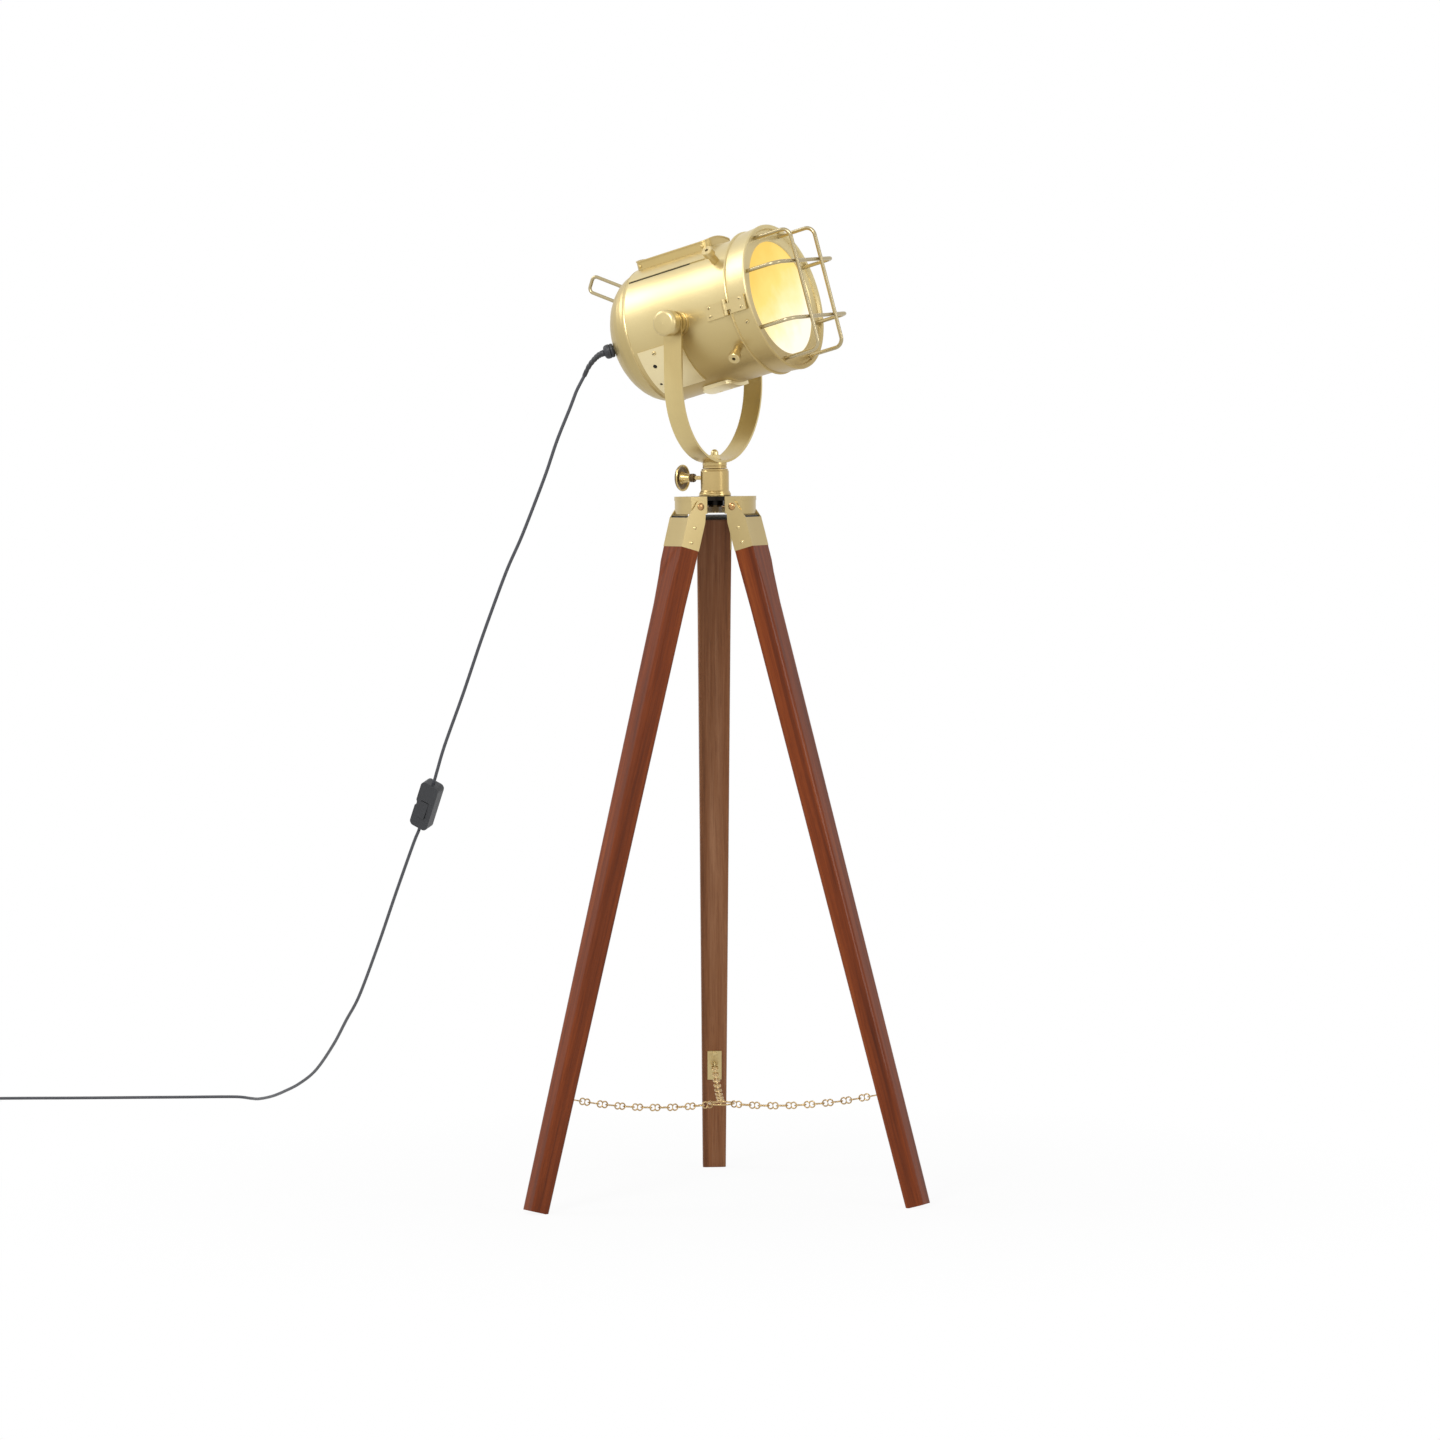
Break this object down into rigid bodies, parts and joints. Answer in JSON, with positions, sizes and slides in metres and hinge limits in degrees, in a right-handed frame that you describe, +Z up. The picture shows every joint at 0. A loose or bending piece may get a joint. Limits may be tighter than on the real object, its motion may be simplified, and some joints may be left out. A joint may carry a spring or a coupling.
{
  "type": "tripod floor lamp",
  "caption": "Spotlight floor lamp: caged, hinged-front drum head in a tilting yoke on a swivel stem, three folding wooden legs joined by chains.",
  "frame": {"origin": "on the floor under the stem's axis", "axes": "+Z up along the stem; the back leg lies along +Y and the two front legs at 210 and 330 degrees about Z; the beam points 32 degrees below +X and 14 degrees up"},
  "size_m": [1.6087, 1.5325, 1.403],
  "materials": {
    "brass": "satin",
    "bright_brass": "polished",
    "dark_bronze": "dark antique",
    "wood": "varnished red-brown hardwood",
    "cord": "matt",
    "black_plastic": "moulded",
    "reflector": "polished",
    "porcelain": "glazed",
    "glass": "clear, warm",
    "bulb": "frosted",
    "pin_metal": "nickel plated"
  },
  "bodies": {
    "stand": {"hub": "brass", "stem": "brass", "stem_nut": "dark_bronze", "chain_ring": "bright_brass"},
    "clamp": {"clamp_knob": "dark_bronze", "clamp_screw": "brass", "clamp_lock_nut": "dark_bronze"},
    "yoke": {"yoke": "brass", "swivel": "brass", "swivel_washer": "brass", "acorn_nut": "bright_brass", "cord_upper": "cord", "switch_body": "black_plastic", "cord_lower": "cord", "cord_coil": "cord", "plug_body": "black_plastic", "plug_pins": "pin_metal"},
    "rocker": {"switch_rocker": "black_plastic"},
    "head": {"tilt_studs": "brass", "tilt_spacers": "brass", "drum": "brass", "dome": "brass", "rear_handle": "brass", "gland": "black_plastic", "strain_relief": "black_plastic", "vent_cover": "brass", "vent_cap": "brass", "side_plate": "brass", "base_plate": "brass", "sight_posts": "brass", "hinge_leaf_drum": "brass", "door_pin": "brass", "door_catch": "brass", "reflector": "reflector", "lamp_holder": "porcelain", "bulb": "bulb", "cord_head": "cord"},
    "knob_near": {"tilt_knob_near": "brass"},
    "knob_far": {"tilt_knob_far": "brass"},
    "door": {"hinge_leaf_bezel": "brass", "bezel": "brass", "glass": "glass", "glass_ring": "brass", "cage": "brass", "door_tab": "brass"},
    "leg_1": {"leg_1": "wood", "bracket_1": "brass", "leg_pins_1": "brass", "chain_plate_1": "brass", "chain_1": "bright_brass"},
    "leg_2": {"leg_2": "wood", "bracket_2": "brass", "leg_pins_2": "brass", "chain_plate_2": "brass", "chain_2": "bright_brass"},
    "leg_3": {"leg_3": "wood", "bracket_3": "brass", "leg_pins_3": "brass", "chain_plate_3": "brass", "chain_3": "bright_brass"}
  },
  "joints": [
    {"name": "leg_1_fold", "type": "hinge", "parent": "stand", "child": "leg_1", "pos_m": [0, 0.04, 1], "axis": [-1, 0, 0], "range_deg": [0, 14], "deforming": ["chain_1"]},
    {"name": "leg_2_fold", "type": "hinge", "parent": "stand", "child": "leg_2", "pos_m": [-0.03464, -0.02, 1], "axis": [0.5, -0.866, 0], "range_deg": [0, 14], "deforming": ["chain_2"]},
    {"name": "leg_3_fold", "type": "hinge", "parent": "stand", "child": "leg_3", "pos_m": [0.03464, -0.02, 1], "axis": [0.5, 0.866, 0], "range_deg": [0, 14], "deforming": ["chain_3"]},
    {"name": "pan", "type": "hinge", "parent": "stand", "child": "yoke", "pos_m": [0, 0, 1.05], "axis": [0, 0, 1], "range_deg": [-170, 170]},
    {"name": "clamp_turn", "type": "hinge", "parent": "stand", "child": "clamp", "pos_m": [-0.04231, 0.02664, 1.041], "axis": [-0.8462, 0.5329, 0], "range_deg": [0, 360]},
    {"name": "tilt", "type": "hinge", "parent": "yoke", "child": "head", "pos_m": [0, 0, 1.2625], "axis": [-0.5329, -0.8462, 0], "range_deg": [-54, 60]},
    {"name": "knob_near_turn", "type": "hinge", "parent": "head", "child": "knob_near", "pos_m": [-0.06927, -0.11001, 1.2625], "axis": [-0.5329, -0.8462, 0], "range_deg": [0, 360]},
    {"name": "knob_far_turn", "type": "hinge", "parent": "head", "child": "knob_far", "pos_m": [0.06927, 0.11001, 1.2625], "axis": [0.5329, 0.8462, 0], "range_deg": [0, 360]},
    {"name": "door", "type": "hinge", "parent": "head", "child": "door", "pos_m": [0.01147, -0.13556, 1.28313], "axis": [0.2076, -0.1307, -0.9694], "range_deg": [0, 95]},
    {"name": "switch_rock", "type": "hinge", "parent": "yoke", "child": "rocker", "pos_m": [-0.43014, 0.27723, 0.54828], "axis": [0.8303, -0.3372, -0.4437], "range_deg": [0, 13]}
  ]
}
